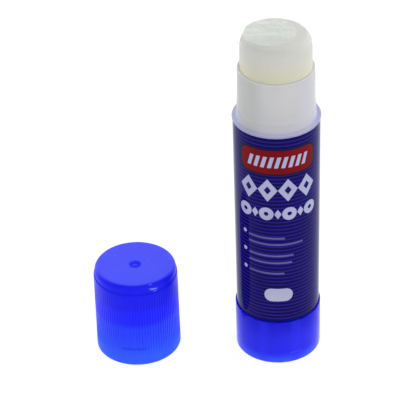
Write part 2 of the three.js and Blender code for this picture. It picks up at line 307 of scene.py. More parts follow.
def with_keys(radius, height, angle):
    """Stands the two keys inside the bore, with sloped tops."""
    side = abs(math.sin(angle)) * radius
    inside = abs(radius - bore_radius) < 1e-3 and web_top_z - 0.01 <= height < key_top_z
    if inside and side < key_width / 2 + 1e-4:
        return key_tip_radius, height
    return radius, height


key_sides = side_angles(key_width, bore_radius)
barrel = turned("barrel_shell", barrel_outline, even_angles(192, *key_sides), with_keys)

milky, tree, principled, place = new_finish(
    "milky_white_polypropylene", IOR=1.49, Specular_IOR_Level=0.12, Subsurface_Weight=0.6,
    Subsurface_Scale=0.0009, Sheen_Weight=0.12, Sheen_Roughness=0.3)
principled.inputs["Subsurface Radius"].default_value = (1.0, 1.0, 1.2)
across, _, up = split_place(tree, place)
from_axis = distance_from_upright(tree, place)
cloud = grain(tree, place, 90, 3)
flow = grain(tree, place, 60, 2, (1, 1, 0.15))
milk = ramp(tree, cloud, (0.3, (0.592, 0.590, 0.590)), (0.7, (0.614, 0.612, 0.614)))
milk = blend_colour(tree, spread(tree, flow, 0.0, 0.2, 0.4, 0.7), milk, (0.57, 0.58, 0.55))
# Painted shade: the neck gets darker low down, towards the flange, where the dark film below sends it
# little light.
painted_shade_near_flange = share_between(tree, up, flange_top_z - 0.2, rim_z - 2.25, 0.55, 0.0, smooth=True)
milk = blend_colour(tree, painted_shade_near_flange, milk, (0.53, 0.525, 0.55))
# Painted side light: the barrel is shaded on its left, away from the lamps, and takes a cool painted light
# on its right.
painted_shade_left = share_between(tree, across, -5.8, -2.5, 0.7, 0.0, smooth=True)
milk = blend_colour(tree, painted_shade_left, milk, (0.505, 0.515, 0.495))
painted_cool_light_right = share_between(tree, across, 2.0, 7.0, 0.0, 0.7, smooth=True)
milk = blend_colour(tree, painted_cool_light_right, milk, (0.575, 0.570, 0.625))
# Painted light on the rolled lip's top, which the glue beside it would otherwise leave in shade.
painted_lip_shading = share_between(tree, up, rim_z - 0.4, rim_z - 0.1, smooth=True)
milk = blend_colour(tree, painted_lip_shading, milk, (0.62, 0.615, 0.59))
# The flange is painted violet for the blue light that reaches it from the film below. The violet is deepest
# at its outer edge, where the film touches it, and stronger at the far left and right, with painted shade
# over its left part.
painted_film_cast = blend_colour(tree, painted_shade_left, (0.550, 0.545, 0.65), (0.455, 0.465, 0.53))
painted_film_cast = blend_colour(tree, share_between(tree, across, -9.5, -7.0, 1.0, 0.0), painted_film_cast, (0.55, 0.57, 0.80))
painted_film_cast = blend_colour(tree, share_between(tree, across, 7.0, 9.5), painted_film_cast, (0.435, 0.45, 0.70))
on_flange = share_between(tree, from_axis, neck_foot_radius + 0.02, neck_foot_radius + 0.42, smooth=True)
milk = blend_colour(tree, on_flange, milk, painted_film_cast)
# Painted blue light from the film, bluest along the outer edge of the flange's top.
at_edge = share_between(tree, from_axis, rim_radius - 0.21, rim_radius - 0.02)
milk = blend_colour(tree, at_edge, milk, (0.32, 0.33, 0.58))
tree.links.new(milk, principled.inputs["Base Color"])
tree.links.new(spread(tree, grain(tree, place, 130, 2), 0.16, 0.24), principled.inputs["Roughness"])
bumped(tree, principled, grain(tree, place, 120, 1), 0.00002, 0.08)
barrel.data.materials.append(milky)
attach(barrel, "barrel")
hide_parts("barrel")


# Lead screw
# White acetal, moulded with a left-handed thread, a collar that bears on the barrel's web and a
# hexagonal tail pressed into the knob. It keeps its modelled shape and gets its own finish.

def moulded_white(name, dark, light, roughness):
    """A plain moulding: white with faint flow marks, matt where it was drawn from the tool."""
    material, tree, principled, place = new_finish(
        name, IOR=1.48, Subsurface_Weight=0.2, Subsurface_Scale=0.0008)
    flow = grain(tree, place, 150, 3, (1, 1, 0.3))
    tree.links.new(ramp(tree, flow, (0.3, dark), (0.7, light)), principled.inputs["Base Color"])
    rough = spread(tree, grain(tree, place, 900, 3), roughness - 0.08, roughness + 0.1)
    tree.links.new(rough, principled.inputs["Roughness"])
    bumped(tree, principled, grain(tree, place, 1100, 3), 0.00003, 0.4)
    return material


matt_acetal = moulded_white("matt_white_acetal", (0.70, 0.70, 0.71), (0.80, 0.80, 0.80), 0.4)
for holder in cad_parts["lead_screw"].material_slots:
    holder.material = matt_acetal


# Glue carrier
# White polypropylene cup with two slots for the barrel's keys and a nut on four gussets below its
# floor. The glue is cast into it, and the turning screw lifts it. It too keeps its modelled shape.
carrier_white = moulded_white("carrier_polypropylene", (0.66, 0.66, 0.68), (0.75, 0.75, 0.77), 0.45)
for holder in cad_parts["glue_carrier"].material_slots:
    holder.material = carrier_white


# Glue
# A cast stick of clear-milky, waxy glue, standing out of the neck. Its end has been rubbed on paper:
# a narrower flat, off the middle, with drag marks, above a soft shoulder. Two grooves clear the keys.
glue_radius = 8.18
glue_reach = 8.185
glue_foot_radius = 7.1
glue_foot_z = 37.45
glue_seat_z = 46.25
glue_bore_radius = 3.2
glue_bore_top_z = 74.1
glue_top_z = 85.5
shoulder_radius = 7.27
flat_radius = 5.8
flat_centre = (-1.35, -0.1)
flat_z = glue_top_z - 0.12
bend_start_z = 79.0
bend_end_z = 83.0
groove_radius = 7.66
groove_width = 1.14
groove_top_z = 84.0

glue_outline = eased([
    (glue_bore_radius, glue_foot_z, 0),
    (glue_foot_radius, glue_foot_z, 0.2),
    (glue_foot_radius, glue_seat_z, 0.1),
    (glue_radius, glue_seat_z, 0.1),
    (glue_radius, 70.0, 0),
    (glue_radius, rim_z, 0),
    (glue_radius, 78.6, 0),
    (glue_radius - 0.005, 79.6, 0),
    (glue_radius - 0.01, 80.6, 0),
    (glue_radius - 0.01, 81.4, 0),
    (glue_radius - 0.03, 82.1, 0),
    (glue_radius - 0.06, 82.6, 0),
    (glue_radius - 0.12, 83.0, 0),
    (glue_radius - 0.21, 83.35, 0),
    (glue_radius - 0.33, 83.65, 0),
    (glue_radius - 0.48, 83.93, 0),
    (shoulder_radius + 0.26, 84.15, 0),
    (shoulder_radius + 0.12, 84.33, 0),
    (shoulder_radius + 0.03, 84.5, 0),
    (shoulder_radius - 0.06, 84.68, 0),
    (shoulder_radius - 0.22, 84.85, 0),
    (shoulder_radius - 0.48, 85.0, 0),
    (shoulder_radius - 0.85, 85.12, 0),
    (flat_radius + 0.3, glue_top_z - 0.27, 0),
    (flat_radius + 0.08, glue_top_z - 0.16, 0),
])
rubbed_rings = 40
for step in range(rubbed_rings + 1):
    glue_outline.append((flat_radius * (1 - step / rubbed_rings), flat_z))
glue_outline += [
    (0, glue_bore_top_z),
    (glue_bore_radius - 0.6, glue_bore_top_z),
    (glue_bore_radius, glue_bore_top_z - 0.6),
]


def rubbed(radius, height, angle):
    """Makes the end of the glue uneven, and cuts the two grooves along its sides."""
    x = radius * math.cos(angle)
    y = radius * math.sin(angle)
    near_top = min(max((height - bend_start_z) / (bend_end_z - bend_start_z), 0), 1)
    if height > glue_bore_top_z + 1 and radius > 0:
        lump = noise.noise(Vector((x * 0.33, y * 0.33, height * 0.3))) * 0.16
        lump += noise.noise(Vector((x * 0.9 + 7, y * 0.9, height * 0.5))) * 0.05
        if height > flat_z - 0.02:
            sweep = y + 0.35 * x - 0.03 * x * x
            drag = abs(noise.noise(Vector((x * 0.3, sweep * 1.5, 3.0)))) * -0.15 + 0.03
            dents = noise.noise(Vector((x * 1.1, y * 1.4, 9.0))) * 0.1
            height += min(lump * 0.6 + drag + dents, 0.11)
        else:
            radius += (lump * 0.6 - 0.02) * near_top
    if height > 84.6:
        share = min((shoulder_radius - radius) / (shoulder_radius - flat_radius), radius / flat_radius)
        lean = flat_centre[0] * math.cos(angle) + flat_centre[1] * math.sin(angle)
        radius += lean * max(0, share)
    side = abs(math.sin(angle)) * radius
    if side < groove_width / 2 + 1e-4 and glue_foot_z - 0.01 < height < groove_top_z:
        radius = min(radius, groove_radius)
    return min(radius, glue_reach), height


groove_sides = side_angles(groove_width, glue_radius)
glue = turned("glue_block", glue_outline, even_angles(256, *groove_sides), rubbed, sharp_degrees=40)

waxy, tree, principled, place = new_finish(
    "waxy_glue", IOR=1.45, Subsurface_Weight=0.9, Subsurface_Scale=0.0009,
    Specular_IOR_Level=0.12, Sheen_Weight=0.05, Sheen_Roughness=0.3)
principled.inputs["Subsurface Radius"].default_value = (1.0, 1.05, 0.85)
_, back, up = split_place(tree, place)
cloud = grain(tree, place, 110, 3)
pale = ramp(tree, cloud, (0.3, (0.632, 0.632, 0.590)), (0.7, (0.664, 0.664, 0.620)))
warm = ramp(tree, cloud, (0.3, (0.665, 0.653, 0.485)), (0.7, (0.695, 0.682, 0.535)))
low_share = share_between(tree, up, rim_z - 0.25, bend_end_z - 0.5, 1.0, 0.0, smooth=True)
body = blend_colour(tree, low_share, pale, warm)
# Painted light: a pale band on the glue just above the rim, in place of the shade where it meets the neck.
painted_light_above_rim = share_between(tree, up, rim_z + 0.03, rim_z + 0.4, 1.0, 0.0, smooth=True)
body = blend_colour(tree, painted_light_above_rim, body, (0.92, 0.90, 0.73))
inside = share_between(tree, up, rim_z - 7.75, rim_z - 0.55, 1.0, 0.0, smooth=True)
body = blend_colour(tree, inside, body, (0.672, 0.664, 0.575))
rub = grain(tree, place, 420, 5, (0.3, 1.0, 1.0))
rubbed_white = ramp(tree, rub, (0.35, (0.66, 0.675, 0.625)), (0.5, (0.71, 0.73, 0.68)),
                    (0.68, (0.78, 0.80, 0.75)))
toward_front = share_between(tree, back, -5.0, 1.0, 0.55, 0.0)
rubbed_white = blend_colour(tree, toward_front, rubbed_white, (0.60, 0.62, 0.58))
from_middle = distance_from_upright(tree, place, *flat_centre)
on_flat = share_between(tree, from_middle, flat_radius - 0.2, flat_radius + 0.3, 1.0, 0.0, smooth=True)
high_up = share_between(tree, up, glue_top_z - 0.7, glue_top_z - 0.3)
on_flat = math_node(tree, "MULTIPLY", on_flat, high_up)
body = blend_colour(tree, on_flat, body, rubbed_white)
tree.links.new(body, principled.inputs["Base Color"])
tree.links.new(spread(tree, rub, 0.38, 0.6, 0.3, 0.7), principled.inputs["Roughness"])
wrinkles = math_node(tree, "MULTIPLY", rub, spread(tree, on_flat, 0.15, 1.0))
height = math_node(tree, "ADD", wrinkles, math_node(tree, "MULTIPLY", grain(tree, place, 900, 2), 0.15))
bumped(tree, principled, height, 0.00014, 0.6)
glue.data.materials.append(waxy)
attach(glue, "carrier")
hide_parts("glue_stick")


# Twist knob
# Clear-blue polypropylene with a polished face: a cup with a hub whose hexagonal socket grips the
# screw's tail, eight ribs from hub to wall and a ring that the barrel's skirt snaps behind.
knob_top_z = 12.1
knob_bore = 9.14
knob_floor_z = 1.3
ring_bore = 8.86
ring_z = 9.7
hub_radius = 3.89
hub_top_z = 11.3
socket_floor_z = 2.6
socket_flats = 4.6
rib_thickness = 0.8
rib_top_z = 7.9
knob_ribs = 8
foot_z = 0.02
recess_z = 0.35
boss_radius = 3.0
standing_radius = 8.7

knob_outline = eased([
    (0, foot_z, 0),
    (boss_radius, foot_z, 0.1),
    (boss_radius + 0.35, recess_z, 0.1),
    (standing_radius - 0.35, recess_z, 0.12),
    (standing_radius, foot_z, 0.1),
    (rim_radius, foot_z, 0.25),
    (rim_radius, knob_top_z, 0.14),
    (knob_bore, knob_top_z, 0.15),
    (knob_bore, ring_z + 1.0, 0.1),
    (ring_bore, ring_z + 0.7, 0.1),
    (ring_bore, ring_z + 0.3, 0.1),
    (knob_bore, ring_z, 0.1),
    (knob_bore, knob_floor_z, 0.25),
    (hub_radius, knob_floor_z, 0.25),
    (hub_radius, hub_top_z, 0.15),
    (socket_flats / 2, hub_top_z, 0),
    (socket_flats / 2, socket_floor_z, 0),
    (0, socket_floor_z, 0),
], steps=6)


def with_socket(radius, height, angle):
    """Gives the hub's bore six flats."""
    if abs(radius - socket_flats / 2) < 1e-6:
        off_flat = (angle + TURN / 12) % (TURN / 6) - TURN / 12
        return radius / math.cos(off_flat), height
    return radius, height


knob = turned("knob_cup", knob_outline, even_angles(192), with_socket)

ribs = bmesh.new()
for k in range(knob_ribs):
    angle = TURN * (k + 0.5) / knob_ribs
    along = Vector((math.cos(angle), math.sin(angle), 0))
    across = Vector((-along.y, along.x, 0)) * (rib_thickness / 2)
    box = []
    for reach in (hub_radius - 0.05, knob_bore + 0.05):
        for side in (-1, 1):
            for z in (knob_floor_z - 0.05, rib_top_z):
                corner = along * reach + across * side + Vector((0, 0, z))
                box.append(ribs.verts.new(corner * MM))
    for a, b, c, d in ((0, 1, 3, 2), (4, 6, 7, 5), (0, 4, 5, 1), (2, 3, 7, 6), (0, 2, 6, 4), (1, 5, 7, 3)):
        ribs.faces.new([box[a], box[b], box[c], box[d]])
bmesh.ops.recalc_face_normals(ribs, faces=ribs.faces)
bmesh.ops.bevel(ribs, geom=ribs.edges[:], offset=0.08 * MM, segments=2, affect="EDGES")
rib_mesh = bpy.data.meshes.new("knob_ribs")
ribs.to_mesh(rib_mesh)
ribs.free()
knob_rib_set = bpy.data.objects.new("knob_ribs", rib_mesh)
bpy.context.scene.collection.objects.link(knob_rib_set)

# The knob glows faintly blue of itself: painted light standing in for the light that comes through the
# plastic.
polished_blue, tree, principled, place = new_finish(
    "polished_clear_blue", Roughness=0.08, IOR=1.5, Specular_IOR_Level=0.08, Subsurface_Weight=0.35,
    Subsurface_Scale=0.0016, Sheen_Weight=0.15, Sheen_Roughness=0.25, Emission_Strength=0.05)
principled.inputs["Emission Color"].default_value = (0.0, 0.004, 1.0, 1)
principled.inputs["Subsurface Radius"].default_value = (0.25, 0.35, 1.6)
across, back, up = split_place(tree, place)
depth = grain(tree, place, 70, 2, (1, 1, 0.2))
blue = ramp(tree, depth, (0.3, (0.017, 0.017, 0.69)), (0.7, (0.025, 0.025, 0.81)))
# Painted light and shade: the knob is darker high up, under the barrel, lighter lower down and glows at the
# foot, for the light from the table that comes through the plastic.
painted_shade_under_barrel = share_between(tree, up, 6.0, 12.0, smooth=True)
blue = blend_colour(tree, painted_shade_under_barrel, blue, (0.009, 0.009, 0.60))
low_share = share_between(tree, up, 0.0, 8.0, 0.7, 0.0)
blue = blend_colour(tree, low_share, blue, (0.020, 0.024, 0.95))
painted_foot_glow = share_between(tree, up, 0.0, 3.1, 1.0, 0.0, smooth=True)
blue = blend_colour(tree, painted_foot_glow, blue, (0.050, 0.112, 1.0))
round_axis = math_node(tree, "ARCTAN2", back, across)
rib_wave = math_node(tree, "COSINE", math_node(tree, "MULTIPLY", round_axis, float(knob_ribs)))
# Painted light: faint lighter bands where the inner ribs stand behind the wall and light passes through
# them.
painted_light_behind_ribs = spread(tree, rib_wave, 0.3, 0.0, -1.0, -0.2, smooth=True)
blue = blend_colour(tree, painted_light_behind_ribs, blue, (0.034, 0.034, 0.93))
# A fine scratch runs a little way round the foot, right of the front.
scratch_z = 2.83
scratch_angle = -1.188
above_scratch = math_node(tree, "ABSOLUTE", math_node(tree, "SUBTRACT", up, scratch_z * MM))
off_middle = math_node(tree, "ABSOLUTE", math_node(tree, "SUBTRACT", round_axis, scratch_angle))
scratch = math_node(tree, "MULTIPLY", share_between(tree, above_scratch, 0.03, 0.10, 0.45, 0.0),
                    spread(tree, off_middle, 1.0, 0.0, 0.12, 0.165))
blue = blend_colour(tree, scratch, blue, (0.17, 0.18, 1.0))
# Painted shade on the knob's top lip, in place of the light its rounding catches.
painted_lip_shading = share_between(tree, up, knob_top_z - 0.2, knob_top_z - 0.1)
blue = blend_colour(tree, painted_lip_shading, blue, (0.004, 0.004, 0.50))
tree.links.new(blue, principled.inputs["Base Color"])
bumped(tree, principled, grain(tree, place, 300, 2), 0.00002, 0.15)
for piece in (knob, knob_rib_set):
    piece.data.materials.append(polished_blue)
    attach(piece, "knob")
    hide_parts("twist_knob")


# Label
# Thin glossy film wrapped round the body and lapped at the back. It is printed dark blue with fine
# lighter rings, one for each millimetre.
label_gap = 0.05
film = 0.12
label_bottom_z = shoulder_z + label_gap
label_top_z = flange_bottom_z - label_gap
film_edge = 0.03
first_ring = 0.62
ring_pitch = 0.99
ring_line = 0.40
lap_radius = 10.0
lap_width = 3.0
lap_rise = 0.04


def body_radius_at(height):
    """Outer radius of the body's drafted wall."""
    share = (height - shoulder_z) / (flange_bottom_z - shoulder_z)
    return body_bottom_radius + (body_top_radius - body_bottom_radius) * share


def label_radius_at(height):
    """Outer radius of the film."""
    return body_radius_at(height) + label_gap + film


outer_heights = [label_bottom_z + film_edge]
line_z = label_bottom_z + first_ring
while line_z + ring_line < label_top_z - 0.1:
    outer_heights += [line_z, line_z + ring_line]
    line_z += ring_pitch
outer_heights.append(label_top_z - film_edge)
label_outline = [(label_radius_at(label_bottom_z) - film_edge, label_bottom_z)]
label_outline += [(label_radius_at(z), z) for z in outer_heights]
label_outline += [
    (label_radius_at(label_top_z) - film_edge, label_top_z),
    (body_radius_at(label_top_z) + label_gap, label_top_z),
    (body_radius_at(label_bottom_z) + label_gap, label_bottom_z),
]


def lapped(radius, height, angle):
    """Lifts the film where its end laps over its start, at the back."""
    outside = radius > body_radius_at(height) + label_gap + film / 2
    off = abs(angle - TURN / 4) * radius
    if outside and off < lap_width / 2 + 1e-4:
        return radius + lap_rise, height
    return radius, height


lap_angle = lap_width / 2 / lap_radius
lap_sides = [TURN / 4 + sign * angle for sign in (-1, 1) for angle in (lap_angle, lap_angle + 0.004)]
label_angles = even_angles(192, *lap_sides)
label = turned("label_film", label_outline, label_angles, lapped)
for index, polygon in enumerate(label.data.polygons):
    row = index // len(label_angles)
    on_line = 2 <= row < len(outer_heights) and row % 2 == 0
    polygon.material_index = 1 if on_line else 0


def printed_film(name, dark, light, roughness):
    """Ink under clear film: a little uneven, with faint handling marks in the gloss."""
    material, tree, principled, place = new_finish(
        name, IOR=1.5, Specular_IOR_Level=0.05, Sheen_Weight=0.07, Sheen_Roughness=0.25)
    ink = ramp(tree, grain(tree, place, 120, 4), (0.3, dark), (0.7, light))
    tree.links.new(ink, principled.inputs["Base Color"])
    rough = spread(tree, grain(tree, place, 350, 3), roughness - 0.02, roughness + 0.05)
    tree.links.new(rough, principled.inputs["Roughness"])
    bumped(tree, principled, grain(tree, place, 110, 2), 0.00002, 0.1)
    return material


dark_blue = printed_film("dark_blue_film", (0.0020, 0.0006, 0.066), (0.0034, 0.0014, 0.088), 0.055)
ring_blue = printed_film("ring_blue_film", (0.014, 0.008, 0.185), (0.020, 0.013, 0.235), 0.055)
label.data.materials.append(dark_blue)
label.data.materials.append(ring_blue)
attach(label, "barrel")
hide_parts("label")


# Print on the label
# Screen-printed inks over the film's blue: a red panel with slanted bars, quilted lozenges, a row
# of spots, ruled lines with bullets and an empty pale plate. Plain shapes, no lettering.
ink_height = 0.025
print_radius = 9.95
strip_width = 0.6
strip_shift = 0.0013


def arc_place(degrees, height):
    """A flat place, in millimetres round the label and up it, from an angle from the front."""
    return math.radians(degrees) * print_radius, height


def in_loops(point, loops):
    """Whether a flat point is inside an odd number of loops."""
    inside = False
    for loop in loops:
        for a, b in zip(loop, loop[1:] + loop[:1]):
            if (a[1] > point[1]) != (b[1] > point[1]):
                cross = a[0] + (point[1] - a[1]) / (b[1] - a[1]) * (b[0] - a[0])
                if point[0] < cross:
                    inside = not inside
    return inside


def inked(name, loops, material, lift=0.0):
    """Ink of closed flat loops, cut in narrow strips and wrapped on the label as a closed layer."""
    points = []
    edges = []
    for loop in loops:
        start = len(points)
        points += [Vector(p) for p in loop]
        edges += [(start + k, start + (k + 1) % len(loop)) for k in range(len(loop))]
    left = min(p.x for p in points)
    right = max(p.x for p in points)
    low = min(p.y for p in points) - 0.05
    high = max(p.y for p in points) + 0.05
    strips = max(1, math.ceil((right - left) / strip_width))
    for k in range(strips + 1):
        x = left + (right - left) * k / strips + strip_shift
        edges.append((len(points), len(points) + 1))
        points += [Vector((x, low)), Vector((x, high))]
    flat, _, triangles, _, _, _ = geometry.delaunay_2d_cdt(points, edges, [], 0, 1e-5)
    kept = []
    for triangle in triangles:
        middle = sum((flat[v] for v in triangle), Vector((0, 0))) / len(triangle)
        if in_loops(middle, loops):
            kept.append(triangle)
    used = sorted({v for triangle in kept for v in triangle})
    renumber = {v: k for k, v in enumerate(used)}
    sheet = bmesh.new()
    corners = []
    for v in used:
        angle = flat[v].x / print_radius - TURN / 4
        radius = label_radius_at(flat[v].y) + lift + ink_height
        place = (radius * math.cos(angle) * MM, radius * math.sin(angle) * MM, flat[v].y * MM)
        corners.append(sheet.verts.new(place))
    for triangle in kept:
        sheet.faces.new([corners[renumber[v]] for v in triangle])
    bmesh.ops.recalc_face_normals(sheet, faces=sheet.faces)
    for face in sheet.faces:
        outward = Vector((face.calc_center_median().x, face.calc_center_median().y, 0))
        if face.normal.dot(outward) < 0:
            face.normal_flip()
    bmesh.ops.solidify(sheet, geom=sheet.faces[:], thickness=ink_height * MM)
    mesh = bpy.data.meshes.new(name)
    sheet.to_mesh(mesh)
    sheet.free()
    mesh.shade_smooth()
    mesh.set_sharp_from_angle(angle=math.radians(40))
    patch = bpy.data.objects.new(name, mesh)
    bpy.context.scene.collection.objects.link(patch)
    mesh.materials.append(material)
    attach(patch, "barrel")


def rounded_plate(centre, width, height, radius, steps=6):
    """A flat rounded rectangle."""
    loop = []
    for turn, (sx, sy) in enumerate(((1, 1), (-1, 1), (-1, -1), (1, -1))):
        x = centre[0] + sx * (width / 2 - radius)
        y = centre[1] + sy * (height / 2 - radius)
        for step in range(steps + 1):
            angle = (turn + step / steps) * TURN / 4
            loop.append((x + radius * math.cos(angle), y + radius * math.sin(angle)))
    return loop


def lozenge(centre, width, height):
    """A flat diamond."""
    x, y = centre
    return [(x + width / 2, y), (x, y + height / 2), (x - width / 2, y), (x, y - height / 2)]


def spot(centre, radius, steps=20):
    """A flat disc."""
    return [(centre[0] + radius * math.cos(TURN * k / steps),
             centre[1] + radius * math.sin(TURN * k / steps)) for k in range(steps)]


black_ink = printed_film("black_ink", (0.008, 0.006, 0.012), (0.014, 0.010, 0.02), 0.2)
red_ink = printed_film("red_ink", (0.15, 0.0015, 0.005), (0.22, 0.003, 0.010), 0.1)
white_ink = printed_film("white_ink", (0.37, 0.385, 0.58), (0.45, 0.47, 0.66), 0.14)
plate_ink = printed_film("plate_ink", (0.40, 0.41, 0.58), (0.48, 0.49, 0.64), 0.14)
pale_ink = printed_film("pale_ink", (0.095, 0.088, 0.29), (0.14, 0.13, 0.36), 0.14)

panel_centre = arc_place(-1.4, 57.3)
panel_width = 18.3
panel_height = 6.2
panel_edge = 0.4
inked("print_panel_edge", [
    rounded_plate(panel_centre, panel_width + 2 * panel_edge, panel_height + 2 * panel_edge, 2.1),
    rounded_plate(panel_centre, panel_width, panel_height, 1.8)], black_ink)
inked("print_panel", [rounded_plate(panel_centre, panel_width, panel_height, 1.8)], red_ink)
bars = []
bar_count = 9
bar_pitch = 1.62
bar_width = 0.9
bar_lean = 0.8
bar_height = 2.9
for k in range(bar_count):
    x = panel_centre[0] + (k - (bar_count - 1) / 2) * bar_pitch - bar_width / 2
    low = panel_centre[1] - bar_height / 2
    high = panel_centre[1] + bar_height / 2
    foot_x = x - bar_lean / 2
    head_x = x + bar_lean / 2
    bars.append([(foot_x, low), (foot_x + bar_width, low), (head_x + bar_width, high), (head_x, high)])
inked("print_bars", bars, white_ink, lift=ink_height)

row_centre, _ = arc_place(-1.6, 0)
quilt_count = 4
quilt_pitch = 4.75
quilt_z = 49.7
quilt = []
for k in range(quilt_count):
    centre = (row_centre + (k - (quilt_count - 1) / 2) * quilt_pitch, quilt_z)
    quilt += [lozenge(centre, 4.7, 6.1), lozenge(centre, 1.7, 2.2)]
inked("print_quilt", quilt, white_ink)
spots = []
spot_count = 7
spot_pitch = 2.72
spot_z = 43.2
for k in range(spot_count):
    centre = (row_centre + (k - (spot_count - 1) / 2) * spot_pitch, spot_z)
    if k % 2:
        spots.append(lozenge(centre, 1.7, 2.6))
    else:
        spots += [spot(centre, 1.75), spot(centre, 0.55)]
inked("print_spots", spots, white_ink)

rules = []
bullets = []
rule_height = 0.46
for bullet_z, ends in ((36.8, ((7.8, 36.4), (33.4, 34.6))), (31.8, ((19.6, 31.4), (17.4, 29.4))),
                       (26.7, ((6.9, 26.4),))):
    bullets.append(spot(arc_place(-50.6, bullet_z), 0.52, 14))
    for end_degrees, rule_z in ends:
        start_x, _ = arc_place(-44, 0)
        end_x, _ = arc_place(end_degrees, 0)
        rules.append(rounded_plate(((start_x + end_x) / 2, rule_z), end_x - start_x, rule_height, 0.2, 3))
inked("print_bullets", bullets, white_ink)
inked("print_rules", rules, pale_ink)
inked("print_plate", [rounded_plate(arc_place(-1.4, 20.15), 6.8, 3.65, 1.7)], plate_ink)


# Cap
# Clear-blue polypropylene with a satin top: a smooth foot, a finely ribbed wall, a ledge below a
# smaller crown with the gate's dimple in its middle, and a bore stepped to seal on the neck.
cap_centre = (-33.85, 0.9)
cap_height = 22.75
ledge_z = 20.75
rib_start_z = 2.2
rib_count = 92
rib_sides = 8
rib_depth = 0.12
foot_crest = 10.11
wall_top_radius = 9.98
crown_radius = 9.72
crown_rounding = 1.05
mouth_radius = 9.16
land_radius = 8.86
groove_bore = 9.26
seal_radius = 8.25
seal_z = 13.6
bore_step_z = 11.2
snap_groove_z = 3.7
land_z = 1.8
ceiling_z = 21.35
dimple_radius = 1.5
dimple_depth = 0.5

cap_outline = eased([
    (mouth_radius, foot_z, 0.1),
    (rim_radius, foot_z, 0.35),
    (rim_radius, 1.8, 0.5),
    (foot_crest, rib_start_z + 0.5, 0.5),
    (foot_crest - 0.01, rib_start_z + 1.3, 0),
    (foot_crest - 0.02, rib_start_z + 2.0, 0),
    (foot_crest - 0.05, ledge_z - 9.5, 0),
    (wall_top_radius + 0.04, ledge_z - 4.0, 0),
    (wall_top_radius + 0.004, ledge_z - 0.5, 0),
    (wall_top_radius - 0.02, ledge_z - 0.25, 0),
    (wall_top_radius - 0.08, ledge_z - 0.08, 0),
    (crown_radius + 0.02, ledge_z, 0),
    (crown_radius, ledge_z + 0.12, 0),
    (crown_radius - 0.05, cap_height, crown_rounding),
    (7.2, cap_height - 0.03, 0),
    (4.0, cap_height - 0.06, 0),
    (dimple_radius + 0.1, cap_height - 0.06, 0.08),
    (dimple_radius - 0.15, cap_height - dimple_depth, 0.12),
    (0.42, cap_height - dimple_depth - 0.02, 0.05),
    (0.3, cap_height - dimple_depth + 0.24, 0.08),
    (0, cap_height - dimple_depth + 0.28, 0),
    (0, ceiling_z, 0),
    (seal_radius, ceiling_z, 0.3),
    (seal_radius, seal_z, 0.5),
    (mouth_radius, bore_step_z, 0.5),
    (mouth_radius, snap_groove_z + 0.1, 0.05),
    (groove_bore, snap_groove_z, 0.05),
    (groove_bore, land_z + 0.3, 0.05),
    (land_radius, land_z, 0.1),
    (land_radius, 0.35, 0.1),
], steps=6)


def ribbed(radius, height, angle):
    """Cuts the shallow grooves between the ribs, fading out at the foot and below the ledge."""
    outside = radius > wall_top_radius - 0.02
    if outside and rib_start_z + 0.1 < height < ledge_z - 0.1:
        wave = 0.5 - 0.5 * math.cos(angle * rib_count)
        fade = min(1, max(0, height - rib_start_z - 0.4) / 1.5) * min(1, 0.15 + (ledge_z - height) / 15)
        radius -= rib_depth * wave ** 3 * fade
    return radius, height


cap = turned("cap_shell", cap_outline, even_angles(rib_count * rib_sides), ribbed, cap_centre)

# The cap glows faintly blue of itself: painted light standing in for the light that comes through the
# plastic.
satin_blue, tree, principled, place = new_finish(
    "satin_clear_blue", IOR=1.5, Subsurface_Weight=0.4, Subsurface_Scale=0.0016,
    Emission_Strength=0.07, Specular_IOR_Level=0.12, Sheen_Weight=0.12, Sheen_Roughness=0.35)
principled.inputs["Emission Color"].default_value = (0.0, 0.004, 1.0, 1)
principled.inputs["Subsurface Radius"].default_value = (0.25, 0.35, 1.6)
across, back, up = split_place(tree, place)
haze = grain(tree, place, 90, 3)
blue = ramp(tree, haze, (0.3, (0.0065, 0.0075, 0.76)), (0.7, (0.009, 0.010, 0.84)))
# Painted light: the wall gets lighter in steps downwards, where it is thinner and lets more light through,
# and glows towards the foot.
painted_light_nearly_thin = share_between(tree, up, 14.7, 17.0, 1.0, 0.0, smooth=True)
blue = blend_colour(tree, painted_light_nearly_thin, blue, (0.0095, 0.014, 0.97))
painted_light_thin_wall = share_between(tree, up, 10.2, 12.5, 1.0, 0.0, smooth=True)
blue = blend_colour(tree, painted_light_thin_wall, blue, (0.016, 0.052, 1.0))
foot_glow = share_between(tree, up, 0.0, 9.5, 1.0, 0.0, smooth=True)
blue = blend_colour(tree, foot_glow, blue, (0.036, 0.13, 0.98))
# A short dark rub low on the front, and the shade in the corner of the ledge.
rub_centre = (-34.9, 4.8)
above_rub = math_node(tree, "ABSOLUTE", math_node(tree, "SUBTRACT", up, rub_centre[1] * MM))
beside_rub = math_node(tree, "ABSOLUTE", math_node(tree, "SUBTRACT", across, rub_centre[0] * MM))
in_front = math_node(tree, "LESS_THAN", back, 0.0)
rub_reach = math_node(tree, "MULTIPLY", in_front,
                      share_between(tree, beside_rub, 2.2, 3.6, 1.0, 0.0, smooth=True))
rub_line = math_node(tree, "MULTIPLY", rub_reach,
                     share_between(tree, above_rub, 0.1, 0.6, 0.6, 0.0, smooth=True))
blue = blend_colour(tree, rub_line, blue, (0.011, 0.022, 0.70))
from_ledge = math_node(tree, "ABSOLUTE", math_node(tree, "SUBTRACT", up, (ledge_z - 0.05) * MM))
ledge_line = share_between(tree, from_ledge, 0.1, 0.4, 0.3, 0.0)
blue = blend_colour(tree, ledge_line, blue, (0.004, 0.005, 0.60))
# The crown is painted lighter, for the light it catches from above, and has bright flecks in it; the dimple
# is painted darker, for the shade in its hollow; the gate is a pale dot.
off_axis = distance_from_upright(tree, place, *cap_centre)
